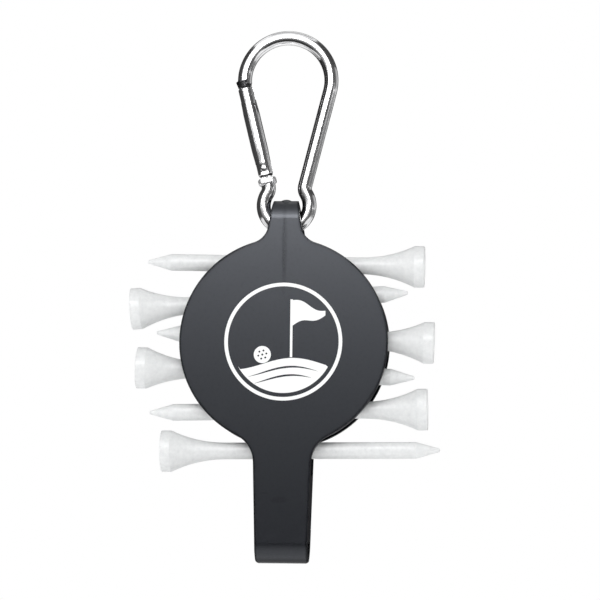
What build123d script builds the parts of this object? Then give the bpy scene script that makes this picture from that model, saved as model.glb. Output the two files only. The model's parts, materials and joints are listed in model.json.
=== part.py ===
from build123d import *
import math
import os

# Divot repair tool with a tee holder, hung from a snap carabiner.
# Millimetres. +X is right, +Z is up and +Y runs from the front face to the back.
# The origin is the centre of the round front face. The tees and the carabiner lie in the
# plane midway between the two plates.

# Plates: the front one is a disc with a neck and a stem, bent back at both ends.
DISC_DIAMETER = 52.4
PLATE_THICKNESS = 2.1
PLATE_GAP = 5.8
NECK_RISE = 9.85
NECK_ROOT_WIDTH = 11.0
NECK_TOP_WIDTH = 6.1
NECK_FILLET = 5.0
STEM_DROP = 29.0
STEM_ROOT_WIDTH = 15.0
STEM_END_WIDTH = 13.05
STEM_FILLET = 7.5
ROOT_OVERLAP = 5.0
CORNER_FILLET = 0.8
EDGE_ROUND = 0.35
SEAM = 0.1

# Eyelet in the neck, its floor web, the crown rib over it and the witness line below it.
EYELET_TOP_WALL = 2.8
EYELET_CLEARANCE = 0.3
WEB_THICKNESS = 1.5
WEB_CLEARANCE = 0.7
CROWN_WIDTH = 2.6
CROWN_HEIGHT = 0.35
CROWN_BEND = 4.0
LINE_WIDTH = 0.3
LINE_DEPTH = 0.15
LINE_LENGTH = 12.5

# Stem: its back lip, its side ribs and the boss for the fork's pivot.
LIP_HEIGHT = 8.7
RIB_THICKNESS = 1.2
RIB_HEIGHT = 17.0
PIVOT_DROP = 13.4
PIVOT_BOSS_RADIUS = 2.6
BACK_FILLET = 1.2

# Tees, standard 2 3/4 inch. Each row is the height of the axis at the centre line in pitches, its
# tilt in degrees, the middle of the tee along X in pitches and the side on which its cup stands.
TEE_LENGTH = 70.0
TEE_SHAFT_RADIUS = 2.1
TEE_RIM_RADIUS = 5.2
TEE_RIM_LENGTH = 2.5
TEE_RIM_ROUND = 0.25
TEE_FLARE_LENGTH = 13.5
TEE_POINT_LENGTH = 6.0
TEE_TIP_RADIUS = 0.4
TEE_TIP_ROUND = 0.35
TEE_CUP_DEPTH = 1.2
TEE_CUP_WALL = 0.6
TEE_ROW_MARGIN = 5.4
TEE_ROWS = [
    (2.126, -0.87, 0.0, 1),
    (1.164, 3.56, -0.426, -1),
    (0.156, -1.85, 0.271, 1),
    (-0.801, -1.81, -0.245, -1),
    (-1.818, 1.03, 0.112, 1),
    (-2.877, 0.60, 0.452, -1),
]

# Rubber grip between the plates and the screws that hold the back plate on.
GRIP_WIDTH = 12.0
GRIP_MARGIN = 3.5
GRIP_CLEARANCE = 0.08
MOUTH_WIDENING = 0.5
MOUTH_DEPTH = 1.0
BOSS_RADIUS = 1.6
SCREW_RADIUS = 0.7
SCREW_HEAD_RADIUS = 1.5
SCREW_HEAD_DEPTH = 0.9
SCREW_FLOOR = 0.9
SCREW_FIT = 0.03
RECESS_WIDTH = 0.35
RECESS_DEPTH = 0.45

# Steel fork that folds over the back plate.
FORK_THICKNESS = 2.0
FORK_REACH = 37.5
FORK_WIDTH = 12.4
FORK_SLOT_WIDTH = 5.0
FORK_SLOT_DEPTH = 22.0
FORK_SHOULDER = 6.0
FORK_TIP_WIDTH = 1.0
FORK_TIP_SPREAD = 6.2
FORK_TIP_ROUND = 0.4
FORK_EDGE = 0.35
RIVET_RADIUS = 1.5
RIVET_HEAD_RADIUS = 3.5
RIVET_HEAD_HEIGHT = 1.2
RIVET_HEAD_ROUND = 0.8
RIVET_DEPTH = 6.0
RUNNING_FIT = 0.05
WASHER_RADIUS = 4.2
WASHER_THICKNESS = 0.3
SPRING_WASHER_RADIUS = 3.2
SPRING_WASHER_THICKNESS = 0.25

# Carabiner: bent wire frame with a sprung tube gate. Its heights start at the lower bow, which
# hangs the neck by the eyelet's roof.
WIRE_RADIUS = 1.78
TOP_BOW_RADIUS = 11.0
BOW_SPAN = 31.9
LOW_BOW_RADIUS = 5.8
LEG_LEAN = 14.0
WAIST_RADIUS = 2.6
COLLAR_RADIUS = 2.3
COLLAR_LENGTH = 1.9
NOSE_RADIUS = 1.98
NOSE_FLARE = 1.9
NOSE_LIFT = 0.9
GATE_END_RADIUS = 1.8
GATE_BODY_RADIUS = 2.08
GATE_END_LENGTH = 3.6
GATE_SHOULDER = 0.5
GATE_BORE = 1.1
GATE_GAP = 0.25
GATE_PIVOT_RISE = 9.4
TONGUE_THICKNESS = 1.1
TONGUE_RADIUS = 1.1
TONGUE_SIDE_GAP = 0.1
SLOT_DEPTH = 1.5
PIN_RADIUS = 0.5
PIN_HEAD = 0.12
LATCH_SLOT = 3.4
LATCH_PIN_DEPTH = 1.6
LATCH_PIN_RADIUS = 0.45
HOOK_WIDTH = 1.9
HOOK_GAP = 0.15
SPRING_WIRE = 0.15
SPRING_TURNS = 8
PLUNGER_LENGTH = 3.0
BORE_FIT = 0.08

# Worked out from the sizes above.
DISC_RADIUS = DISC_DIAMETER / 2
TEE_PITCH = (DISC_DIAMETER - TEE_ROW_MARGIN) / (len(TEE_ROWS) - 1)
DEPTH = 2 * PLATE_THICKNESS + PLATE_GAP
MID_Y = DEPTH / 2
BACK_INNER_Y = DEPTH - PLATE_THICKNESS
TOP_Z = DISC_RADIUS + NECK_RISE
BOTTOM_Z = -(DISC_RADIUS + STEM_DROP)
ROOT_Z = DISC_RADIUS - ROOT_OVERLAP
NECK_TAPER = (NECK_ROOT_WIDTH - NECK_TOP_WIDTH) / (TOP_Z - ROOT_Z)
NECK_EDGE_X = (NECK_TOP_WIDTH + NECK_TAPER * EYELET_TOP_WALL) / 2
WIRE_INNER_RADIUS = LOW_BOW_RADIUS - WIRE_RADIUS
EYELET_TOP_Z = TOP_Z - EYELET_TOP_WALL
LOW_BOW_Z = EYELET_TOP_Z - EYELET_CLEARANCE + math.sqrt(WIRE_INNER_RADIUS ** 2 - NECK_EDGE_X ** 2)
TOP_BOW_Z = LOW_BOW_Z + BOW_SPAN
GATE_PIVOT_Z = LOW_BOW_Z + GATE_PIVOT_RISE
WIRE_BOTTOM_Z = LOW_BOW_Z - LOW_BOW_RADIUS - WIRE_RADIUS
WEB_TOP_Z = WIRE_BOTTOM_Z - WEB_CLEARANCE
WEB_BOTTOM_Z = WEB_TOP_Z - WEB_THICKNESS
LIP_TOP_Z = BOTTOM_Z + LIP_HEIGHT
PIVOT_Z = -(DISC_RADIUS + PIVOT_DROP)
TEE_ZS = [row[0] * TEE_PITCH for row in TEE_ROWS]
SCREW_ZS = [(TEE_ZS[i] + TEE_ZS[i + 1]) / 2 for i in (0, 2, 4)]
WASHER_Y = DEPTH
FORK_Y = WASHER_Y + WASHER_THICKNESS
SPRING_WASHER_Y = FORK_Y + FORK_THICKNESS
RIVET_HEAD_Y = SPRING_WASHER_Y + SPRING_WASHER_THICKNESS


def prism(sketch, front_y, back_y):
    """Extrude a sketch of the front view from one depth to another."""
    return extrude(Plane.XZ.offset(-back_y) * sketch, amount=back_y - front_y)


def rounded_plate(sketch, front_y, back_y, outer_y):
    """Prism whose edges on the outer face are rounded."""
    plate = prism(sketch, front_y, back_y)
    flat_faces = plate.faces().filter_by(Plane.XZ)
    outer_face = min(flat_faces, key=lambda face: abs(face.center().Y - outer_y))
    return fillet(outer_face.edges(), EDGE_ROUND)


def rod(x, z, radius, front_y, back_y):
    """Round bar along Y."""
    return prism(Pos(x, z) * Circle(radius), front_y, back_y)


def strip(root_z, root_width, end_z, end_width):
    """Tapered strip of the front view."""
    return make_face(Polyline((-root_width / 2, root_z), (root_width / 2, root_z),
                              (end_width / 2, end_z), (-end_width / 2, end_z), close=True))


def on_rim(vertex):
    """True for a corner of the front view that lies on the disc's rim."""
    return abs(math.hypot(vertex.X, vertex.Y) - DISC_RADIUS) < 0.01


def neck_strip():
    return strip(ROOT_Z, NECK_ROOT_WIDTH, TOP_Z, NECK_TOP_WIDTH)


def stem_strip():
    stem = strip(-ROOT_Z, STEM_ROOT_WIDTH, BOTTOM_Z, STEM_END_WIDTH)
    ends = stem.vertices().sort_by(Axis.Y)[:2]
    return fillet(ends, CORNER_FILLET)


def front_outline():
    """Disc with the neck and the stem blended into it."""
    outline = Circle(DISC_RADIUS) + neck_strip() + stem_strip()
    corners = [vertex for vertex in outline.vertices() if on_rim(vertex)]
    outline = fillet([corner for corner in corners if corner.Y > 0], NECK_FILLET)
    corners = [vertex for vertex in outline.vertices() if on_rim(vertex) and vertex.Y < -ROOT_Z]
    return fillet(corners, STEM_FILLET)


def side_slot(low_z, high_z, depth):
    """Round-ended side view of the given depth, through the whole width."""
    slot = SlotOverall(high_z - low_z, depth, rotation=90)
    face = Plane.YZ * (Pos(MID_Y, (low_z + high_z) / 2) * slot)
    return extrude(face, amount=DISC_DIAMETER, both=True)


def slab(low_z, high_z, front_y, back_y, width):
    """Block centred on X."""
    centre = Pos(0, (front_y + back_y) / 2, (low_z + high_z) / 2)
    return centre * Box(width, back_y - front_y, high_z - low_z)


def level(low_z, high_z):
    """Everything between two heights."""
    return slab(low_z, high_z, 0, DEPTH, DISC_DIAMETER)


def crown_rib():
    """Half-round rib that runs over the eyelet and sinks into it at both ends."""
    section = ((CROWN_WIDTH / 2) ** 2 + CROWN_HEIGHT ** 2) / (2 * CROWN_HEIGHT)
    ring = Torus(CROWN_BEND - section, section)
    return Pos(0, MID_Y, TOP_Z + CROWN_HEIGHT - CROWN_BEND) * Rot(0, 90, 0) * ring


def stem_ribs():
    """Two ribs inside the stem's edges that carry its back."""
    area = stem_strip()
    core = offset(area, -RIB_THICKNESS)
    band = area - core
    ribs = prism(band, PLATE_THICKNESS, BACK_INNER_Y)
    low_z = BOTTOM_Z + DEPTH / 2
    return ribs & level(low_z, low_z + RIB_HEIGHT)


def front_plate():
    outer = side_slot(BOTTOM_Z, TOP_Z, DEPTH)
    inner = side_slot(BOTTOM_Z + PLATE_THICKNESS, EYELET_TOP_Z, PLATE_GAP)
    face = rounded_plate(front_outline(), 0, PLATE_THICKNESS, 0) & outer
    neck = prism(neck_strip(), EDGE_ROUND, DEPTH) & outer & level(WEB_BOTTOM_Z, TOP_Z)
    stem = prism(stem_strip(), EDGE_ROUND, DEPTH) & outer & level(BOTTOM_Z, LIP_TOP_Z)
    web = neck & level(WEB_BOTTOM_Z, WEB_TOP_Z)
    body = face + neck + crown_rib() + stem - inner + web + stem_ribs()
    for z in SCREW_ZS:
        body += rod(0, z, BOSS_RADIUS, PLATE_THICKNESS, BACK_INNER_Y)
    body += rod(0, PIVOT_Z, PIVOT_BOSS_RADIUS, PLATE_THICKNESS, BACK_INNER_Y)
    for z in SCREW_ZS:
        body -= rod(0, z, SCREW_RADIUS + SCREW_FIT, SCREW_FLOOR + SCREW_FIT, DEPTH)
    body -= rod(0, PIVOT_Z, RIVET_RADIUS, BACK_INNER_Y - RIVET_DEPTH + PLATE_THICKNESS, DEPTH)
    line_top = TOP_Z - DEPTH / 2
    body -= slab(line_top - LINE_LENGTH, line_top, -LINE_DEPTH, LINE_DEPTH, LINE_WIDTH)
    return body


def screw_cone(radius, back_y, depth):
    """Countersink or countersunk head whose wide end faces back."""
    cone = Cone(SCREW_RADIUS, radius, depth)
    return Pos(0, back_y - depth / 2, 0) * Rot(-90, 0, 0) * cone


def back_plate():
    stem = strip(-ROOT_Z, STEM_ROOT_WIDTH, BOTTOM_Z, STEM_END_WIDTH)
    outline = Circle(DISC_RADIUS) + stem
    corners = [vertex for vertex in outline.vertices() if on_rim(vertex)]
    outline = fillet(corners, BACK_FILLET)
    body = rounded_plate(outline, BACK_INNER_Y, DEPTH, DEPTH)
    body -= level(BOTTOM_Z - SEAM, LIP_TOP_Z + SEAM)
    body -= prism(offset(neck_strip(), SEAM), 0, DEPTH) & level(WEB_BOTTOM_Z - SEAM, TOP_Z)
    for z in SCREW_ZS:
        body -= rod(0, z, SCREW_RADIUS + SCREW_FIT, 0, DEPTH)
        body -= Pos(0, 0, z) * screw_cone(SCREW_HEAD_RADIUS + SCREW_FIT, DEPTH, SCREW_HEAD_DEPTH)
    return body - rod(0, PIVOT_Z, RIVET_RADIUS, 0, DEPTH)


def case_screws():
    """Countersunk cross-head screws, one in each boss."""
    screws = []
    for z in SCREW_ZS:
        screw = rod(0, 0, SCREW_RADIUS, SCREW_FLOOR + 2 * SCREW_FIT, DEPTH)
        screw += screw_cone(SCREW_HEAD_RADIUS, DEPTH, SCREW_HEAD_DEPTH)
        for width, height in ((RECESS_WIDTH, 3 * SCREW_RADIUS), (3 * SCREW_RADIUS, RECESS_WIDTH)):
            screw -= slab(-height / 2, height / 2, DEPTH - RECESS_DEPTH, 2 * DEPTH, width)
        screws.append(Pos(0, 0, z) * screw)
    return Compound(children=screws)


def tee_blank():
    """Tee along +X with its point at zero and a dished cup at the far end."""
    rim_start = TEE_LENGTH - TEE_RIM_LENGTH
    neck_start = rim_start - TEE_FLARE_LENGTH
    cup_floor = TEE_LENGTH - TEE_CUP_DEPTH
    lip = (TEE_LENGTH, TEE_RIM_RADIUS - TEE_CUP_WALL)
    point = Polyline((0, 0), (0, TEE_TIP_RADIUS), (TEE_POINT_LENGTH, TEE_SHAFT_RADIUS),
                     (neck_start, TEE_SHAFT_RADIUS))
    flare = TangentArc((neck_start, TEE_SHAFT_RADIUS), (rim_start, TEE_RIM_RADIUS), tangent=(1, 0))
    rim = Polyline((rim_start, TEE_RIM_RADIUS), (TEE_LENGTH, TEE_RIM_RADIUS), lip)
    cup = TangentArc((cup_floor, 0), lip, tangent=(0, 1))
    axis = Line((0, 0), (cup_floor, 0))
    profile = make_face(Curve() + [point, flare, rim, cup, axis])
    corners = profile.vertices().sort_by(Axis.X)
    tip_corner = max(corners[:2], key=lambda corner: corner.Y)
    profile = fillet(tip_corner, TEE_TIP_ROUND)
    rim_corners = profile.vertices().sort_by(Axis.X)[-2:]
    profile = fillet(rim_corners, TEE_RIM_ROUND)
    return revolve(profile, Axis.X)


def tee_frame(row):
    """Places local +X along a tee's axis with zero at the tee's point."""
    slope = math.radians(row[1])
    middle = row[2] * TEE_PITCH
    side = row[3]
    centre = Vector(middle, MID_Y, row[0] * TEE_PITCH + middle * math.tan(slope))
    along = Vector(math.cos(slope), 0, math.sin(slope)) * side
    return Plane(centre - along * (TEE_LENGTH / 2), x_dir=along, z_dir=(0, -side, 0))


def tee_grip():
    """Moulded block between the plates, bored for each tee and each boss."""
    body = slab(min(TEE_ZS) - GRIP_MARGIN, max(TEE_ZS) + GRIP_MARGIN,
                PLATE_THICKNESS, BACK_INNER_Y, GRIP_WIDTH)
    bore = TEE_SHAFT_RADIUS + GRIP_CLEARANCE
    for row in TEE_ROWS:
        channel = Rot(0, 90, 0) * Cylinder(bore, 2 * GRIP_WIDTH)
        for side in (1, -1):
            mouth = Cone(bore, bore + MOUTH_WIDENING, MOUTH_DEPTH)
            channel += Pos(side * (GRIP_WIDTH - MOUTH_DEPTH) / 2, 0, 0) * Rot(0, 90 * side, 0) * mouth
        body -= Pos(0, MID_Y, row[0] * TEE_PITCH) * Rot(0, -row[1], 0) * channel
    for z in SCREW_ZS:
        body -= rod(0, z, BOSS_RADIUS + GRIP_CLEARANCE, 0, DEPTH)
    return body


def divot_fork():
    """Flat fork with two tapered prongs, folded up over the back plate."""
    hub = Pos(0, PIVOT_Z) * Circle(FORK_WIDTH / 2)
    shoulder_z = PIVOT_Z + FORK_REACH - FORK_SLOT_DEPTH + FORK_SHOULDER
    tip_z = PIVOT_Z + FORK_REACH
    half = FORK_WIDTH / 2
    inner_tip = (FORK_TIP_SPREAD - FORK_TIP_WIDTH) / 2
    outer_tip = (FORK_TIP_SPREAD + FORK_TIP_WIDTH) / 2
    blade = make_face(Polyline((-half, PIVOT_Z), (half, PIVOT_Z), (half, shoulder_z), (outer_tip, tip_z),
                               (-outer_tip, tip_z), (-half, shoulder_z), close=True))
    slot_half = FORK_SLOT_WIDTH / 2
    root_z = tip_z - FORK_SLOT_DEPTH + slot_half
    slot = make_face(Polyline((-slot_half, root_z), (slot_half, root_z), (inner_tip, tip_z),
                              (-inner_tip, tip_z), close=True))
    outline = hub + blade - slot - Pos(0, root_z) * Circle(slot_half)
    tips = outline.vertices().sort_by(Axis.Y)[-4:]
    outline = fillet(tips, FORK_TIP_ROUND)
    body = prism(outline, FORK_Y, FORK_Y + FORK_THICKNESS)
    rims = body.edges().filter_by(Plane.XZ)
    body = chamfer(rims, FORK_EDGE)
    return body - rod(0, PIVOT_Z, RIVET_RADIUS + RUNNING_FIT, 0, 2 * DEPTH)


def fork_pivot():
    """Headed rivet pressed into the stem's boss."""
    shank = rod(0, PIVOT_Z, RIVET_RADIUS, BACK_INNER_Y - RIVET_DEPTH + PLATE_THICKNESS, RIVET_HEAD_Y)
    head = rod(0, PIVOT_Z, RIVET_HEAD_RADIUS, RIVET_HEAD_Y, RIVET_HEAD_Y + RIVET_HEAD_HEIGHT)
    crown = head.edges().sort_by(Axis.Y)[-1]
    return shank + fillet(crown, RIVET_HEAD_ROUND)


def washer(outer_radius, front_y, thickness):
    ring = Circle(outer_radius) - Circle(RIVET_RADIUS + RUNNING_FIT)
    return prism(Pos(0, PIVOT_Z) * ring, front_y, front_y + thickness)


# Carabiner layout. The gate's own view has its origin on the gate's pivot, +X pointing into the
# ring and +Y running along the gate to the nose.
LEAN = math.radians(LEG_LEAN)
LEG_TOP = Vector(TOP_BOW_RADIUS * math.cos(LEAN), TOP_BOW_Z - TOP_BOW_RADIUS * math.sin(LEAN))
PIVOT_X = -(LEG_TOP.X - (LEG_TOP.Y - GATE_PIVOT_Z) * math.tan(LEAN))
GATE_PLANE = Plane((PIVOT_X, MID_Y, GATE_PIVOT_Z), x_dir=(math.cos(LEAN), 0, math.sin(LEAN)),
                   z_dir=(0, -1, 0))
NOSE_START = (LEG_TOP.Y - GATE_PIVOT_Z) / math.cos(LEAN) + NOSE_LIFT
GATE_LENGTH = NOSE_START - GATE_GAP
COLLAR_TOP = -(GATE_END_RADIUS + GATE_GAP)
PLUNGER_LOW = TONGUE_RADIUS + RUNNING_FIT
PLUNGER_HIGH = PLUNGER_LOW + PLUNGER_LENGTH


def waist_arc():
    """Length of the straight leg and the turn of the waist that joins it to the lower bow."""
    down = Vector(-math.sin(LEAN), -math.cos(LEAN))
    out = Vector(math.cos(LEAN), -math.sin(LEAN))
    start = LEG_TOP + out * WAIST_RADIUS - Vector(0, LOW_BOW_Z)
    reach = LOW_BOW_RADIUS + WAIST_RADIUS
    along = start.dot(down)
    length = -along - math.sqrt(along ** 2 - start.dot(start) + reach ** 2)
    centre = start + down * length
    to_bow = math.degrees(math.atan2(-centre.Y, -centre.X))
    to_leg = math.degrees(math.atan2(-out.Y, -out.X))
    turn = (to_bow - to_leg) % 360
    return length, turn, math.degrees(math.atan2(centre.Y, centre.X))


def frame_path():
    """Centre line from the nose, over the top bow and round the lower bow to the collar."""
    length, turn, meet = waist_arc()
    up_gate = Vector(-math.sin(LEAN), math.cos(LEAN))
    left_top = Vector(-LEG_TOP.X, LEG_TOP.Y)
    bow = JernArc(left_top, up_gate, TOP_BOW_RADIUS, -(180 + 2 * LEG_LEAN))
    leg = Line(bow @ 1, bow @ 1 + (bow % 1) * length)
    waist = JernArc(leg @ 1, leg % 1, WAIST_RADIUS, turn)
    low = JernArc(waist @ 1, waist % 1, LOW_BOW_RADIUS, -(180 + 2 * meet))
    waist_left = JernArc(low @ 1, low % 1, WAIST_RADIUS, turn)
    rise = (GATE_PIVOT_Z - (waist_left @ 1).Y) / math.cos(LEAN) - GATE_END_RADIUS - GATE_GAP
    tail = Line(waist_left @ 1, waist_left @ 1 + (waist_left % 1) * rise)
    return Wire([bow, leg, waist, low, waist_left, tail])


def gate_bar(radius, low, high):
    """Round bar along the gate's axis, between two distances from the gate's pivot."""
    bar = Pos(0, (low + high) / 2, 0) * Rot(-90, 0, 0) * Cylinder(radius, high - low)
    return GATE_PLANE.location * bar


def gate_block(sketch, thickness):
    """Flat piece of the gate's own view, centred on the ring's plane."""
    return extrude(GATE_PLANE * sketch, amount=thickness / 2, both=True)


def box_sketch(left, right, low, high):
    return Pos((left + right) / 2, (low + high) / 2) * Rectangle(right - left, high - low)


def hinge_tongue():
    return Circle(TONGUE_RADIUS) + box_sketch(-TONGUE_RADIUS, TONGUE_RADIUS, COLLAR_TOP, 0)


def latch_tongue():
    """Hooked end of the nose: it passes outside the latch pin and turns in under it."""
    pin = GATE_LENGTH - LATCH_PIN_DEPTH
    stem_right = -(LATCH_PIN_RADIUS + HOOK_GAP)
    hook_top = pin - LATCH_PIN_RADIUS - HOOK_GAP
    hook_low = GATE_LENGTH - LATCH_SLOT + HOOK_GAP
    left = -HOOK_WIDTH / 2 - HOOK_GAP
    stem = box_sketch(left, stem_right, hook_low, NOSE_START)
    hook = box_sketch(left, HOOK_WIDTH / 2, hook_low, hook_top)
    return stem + hook


def carabiner_frame():
    path = Plane.XZ.offset(-MID_Y) * frame_path()
    section = Plane(path @ 0, z_dir=path % 0) * Circle(WIRE_RADIUS)
    body = sweep(section, path)
    body -= gate_bar(2 * WIRE_RADIUS, 0, NOSE_START)
    body += gate_bar(COLLAR_RADIUS, COLLAR_TOP - COLLAR_LENGTH, COLLAR_TOP)
    nose = Rot(-90, 0, 0) * Cone(NOSE_RADIUS, WIRE_RADIUS, NOSE_FLARE)
    body += GATE_PLANE.location * (Pos(0, NOSE_START + NOSE_FLARE / 2, 0) * nose)
    body += gate_block(hinge_tongue(), TONGUE_THICKNESS)
    body += gate_block(latch_tongue(), TONGUE_THICKNESS)
    return body - gate_block(Circle(PIN_RADIUS + RUNNING_FIT), DEPTH)


def gate_tube():
    """Gate's outer form: a thicker sleeve between two plain ends."""
    sleeve_low = GATE_END_LENGTH - GATE_END_RADIUS
    sleeve_high = GATE_LENGTH - GATE_END_LENGTH
    profile = make_face(Polyline(
        (0, -GATE_END_RADIUS), (GATE_END_RADIUS, -GATE_END_RADIUS), (GATE_END_RADIUS, sleeve_low),
        (GATE_BODY_RADIUS, sleeve_low + GATE_SHOULDER), (GATE_BODY_RADIUS, sleeve_high - GATE_SHOULDER),
        (GATE_END_RADIUS, sleeve_high), (GATE_END_RADIUS, GATE_LENGTH), (0, GATE_LENGTH), close=True))
    return GATE_PLANE.location * revolve(profile, Axis.Y)


def carabiner_gate():
    width = TONGUE_THICKNESS + 2 * TONGUE_SIDE_GAP
    half = GATE_BODY_RADIUS
    side_view = Circle(GATE_END_RADIUS) + box_sketch(-half, half, 0, GATE_LENGTH)
    body = gate_tube() & gate_block(side_view, DEPTH)
    body -= gate_bar(GATE_BORE, TONGUE_RADIUS, GATE_LENGTH)
    body -= gate_block(box_sketch(-half, half, -half, SLOT_DEPTH), width)
    body -= gate_block(box_sketch(-half, half, GATE_LENGTH - LATCH_SLOT, GATE_LENGTH), width)
    body -= gate_block(Circle(PIN_RADIUS), DEPTH)
    return body - gate_block(Pos(0, GATE_LENGTH - LATCH_PIN_DEPTH) * Circle(LATCH_PIN_RADIUS), DEPTH)


def gate_pin():
    return gate_block(Circle(PIN_RADIUS), 2 * (GATE_END_RADIUS + PIN_HEAD))


def latch_pin():
    centre = Pos(0, GATE_LENGTH - LATCH_PIN_DEPTH)
    return gate_block(centre * Circle(LATCH_PIN_RADIUS), 2 * GATE_END_RADIUS)


def gate_plunger():
    """Round plunger that the spring presses onto the hinge tongue."""
    return gate_bar(GATE_BORE - BORE_FIT, PLUNGER_LOW, PLUNGER_HIGH)


def gate_spring():
    low = PLUNGER_HIGH + SPRING_WIRE
    high = GATE_LENGTH - LATCH_SLOT - SPRING_WIRE
    radius = GATE_BORE - BORE_FIT - SPRING_WIRE
    coil = Helix(pitch=(high - low) / SPRING_TURNS, height=high - low, radius=radius)
    spring = sweep(Plane(coil @ 0, z_dir=coil % 0) * Circle(SPRING_WIRE), coil, is_frenet=True)
    return GATE_PLANE.location * (Pos(0, low, 0) * Rot(-90, 0, 0) * spring)


def write(name, shape):
    export_step(shape, "parts/" + name + ".step")


os.makedirs("parts", exist_ok=True)
write("front_plate", front_plate())
write("back_plate", back_plate())
write("tee_grip", tee_grip())
write("case_screws", case_screws())
write("divot_fork", divot_fork())
write("fork_pivot", fork_pivot())
write("fork_washer", washer(WASHER_RADIUS, WASHER_Y, WASHER_THICKNESS))
write("fork_spring_washer", washer(SPRING_WASHER_RADIUS, SPRING_WASHER_Y, SPRING_WASHER_THICKNESS))
for number, row in enumerate(TEE_ROWS, start=1):
    write("tee_" + str(number), tee_frame(row).location * tee_blank())
write("carabiner_frame", carabiner_frame())
write("carabiner_gate", carabiner_gate())
write("gate_pin", gate_pin())
write("latch_pin", latch_pin())
write("gate_plunger", gate_plunger())
write("gate_spring", gate_spring())
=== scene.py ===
import json
import math

import bmesh
import bpy
from mathutils import Matrix, Vector


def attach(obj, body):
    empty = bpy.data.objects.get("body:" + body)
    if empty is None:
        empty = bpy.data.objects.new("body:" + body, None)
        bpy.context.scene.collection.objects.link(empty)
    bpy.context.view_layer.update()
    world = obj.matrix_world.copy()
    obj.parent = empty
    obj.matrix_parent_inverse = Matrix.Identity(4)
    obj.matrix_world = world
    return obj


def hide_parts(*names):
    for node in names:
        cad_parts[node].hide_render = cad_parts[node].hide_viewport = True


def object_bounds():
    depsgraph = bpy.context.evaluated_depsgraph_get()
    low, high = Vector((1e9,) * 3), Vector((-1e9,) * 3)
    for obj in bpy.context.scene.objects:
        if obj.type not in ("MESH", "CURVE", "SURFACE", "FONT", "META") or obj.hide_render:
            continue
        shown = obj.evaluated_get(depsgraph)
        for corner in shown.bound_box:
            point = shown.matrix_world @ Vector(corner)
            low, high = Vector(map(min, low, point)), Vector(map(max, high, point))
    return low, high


MM = 0.001

# Camera: seen from a little to the right and a little below, through a long lens.
CAMERA_AZIMUTH = 4.5
CAMERA_ELEVATION = -6.0
CAMERA_ROLL = 0.7
LENS = 200.0
SENSOR = 36.0
VIEW_WIDTH = 150.0 * MM
VIEW_CENTRE = (4.2 * MM, 10.38 * MM)

# Stage, in metres: the floor lies below the object. AMBIENT is the world's light on the object.
FLOOR_DROP = 90 * MM
FLOOR_SIZE = 6.0
FLOOR_WHITE = 0.85
AMBIENT = 0.66

# Brightness across the cards that are not plain, as (share of the card, level) stops.
KEY_LEVELS = [(0, 1.0), (0.3, 10.0), (0.7, 10.0), (1, 0.6)]
FLANK_LEVELS = [(0, 0.08), (0.2, 0.10), (0.6, 0.45), (1, 0.75)]
LOW_LEVELS = [(0, 0.04), (0.38, 0.03), (0.50, 0.12), (0.62, 0.26), (0.80, 0.52), (1, 0.80)]
END_LEVELS = [(0, 1.2), (0.5, 0.95), (0.9, 0.6), (1, 0.4)]
FOOT_LEVELS = [(0, 1.1), (0.28, 1.25), (0.58, 0.45), (1, 0.30)]
UNDER_LEVELS = [(0, 0.9), (1, 1.6)]

# Cards that only reflections see. Each faces a point on the object's middle line: name, azimuth and
# elevation from the front, that point's height, distance, width, height (metres), and brightness,
# whose stops run up the card or, for the cards in SIDEWAYS, towards the back.
CARDS = [
    ("card_key", -6, 17.5, 0.045, 0.32, 0.27, 0.175, KEY_LEVELS),
    ("card_left", -90, 0, 0.045, 0.50, 0.93, 1.2, [(0, 0.05)]),
    ("card_behind", -150, 0, 0.045, 0.50, 0.42, 1.2, [(0, 0.05)]),
    ("card_back", 162, 0, 0.045, 0.50, 0.55, 1.0, [(0, 0.03)]),
    ("card_right", 30, -20, 0.045, 0.50, 0.577, 0.53, [(0, 0.11)]),
    ("card_upper", 45, 34, 0.045, 0.50, 0.33, 0.49, [(0, 0.10)]),
    ("card_shoulder", 90, 47, 0.045, 0.42, 0.72, 0.28, [(0, 0.06)]),
    ("card_flank", 95, 23, 0.045, 0.50, 0.72, 0.42, FLANK_LEVELS),
    ("card_side", 92, -12, 0.045, 0.50, 0.62, 0.17, [(0, 0.20)]),
    ("card_low", -12, -43, 0.1725, 0.285, 0.36, 0.332, LOW_LEVELS),
    ("card_end", 0, -32, -0.055, 0.042, 0.06, 0.034, END_LEVELS),
    ("card_foot", 0, -105, -0.055, 0.030, 0.034, 0.062, FOOT_LEVELS),
    ("card_under", 180, -85, 0.045, 0.185, 0.16, 0.12, UNDER_LEVELS),
    ("card_top", 0, 98, 0.045, 0.30, 0.22, 0.16, [(0, 0.50)]),
]
SIDEWAYS = ("card_flank",)

# Key lamp: azimuth, elevation and distance from the neck, its width, height and watts.
NECK_HEIGHT = 0.03
KEY_AZIMUTH = -8
KEY_ELEVATION = 33
KEY_DISTANCE = 0.42
KEY_SIZE = (0.41, 0.32)
KEY_POWER = 0.8

# Other lamps: name, place, the point it aims at, side length, watts, and whether gloss shows it.
LAMPS = [
    ("fill_left", (-0.7, -0.45, 0.15), (0, 0, 0), 0.4, 0.5, True),
    ("fill_right", (0.7, -0.45, 0.1), (0, 0, 0), 0.4, 0.4, True),
    ("bounce_left", (-0.25, -0.06, -0.14), (-0.05, 0, 0), 0.2, 0.45, False),
    ("bounce_right", (0.25, -0.06, -0.14), (0.05, 0, 0), 0.2, 0.45, False),
    ("fill_rear", (0.25, 0.8, 0.35), (0, 0, 0), 0.5, 2.0, False),
]

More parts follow.
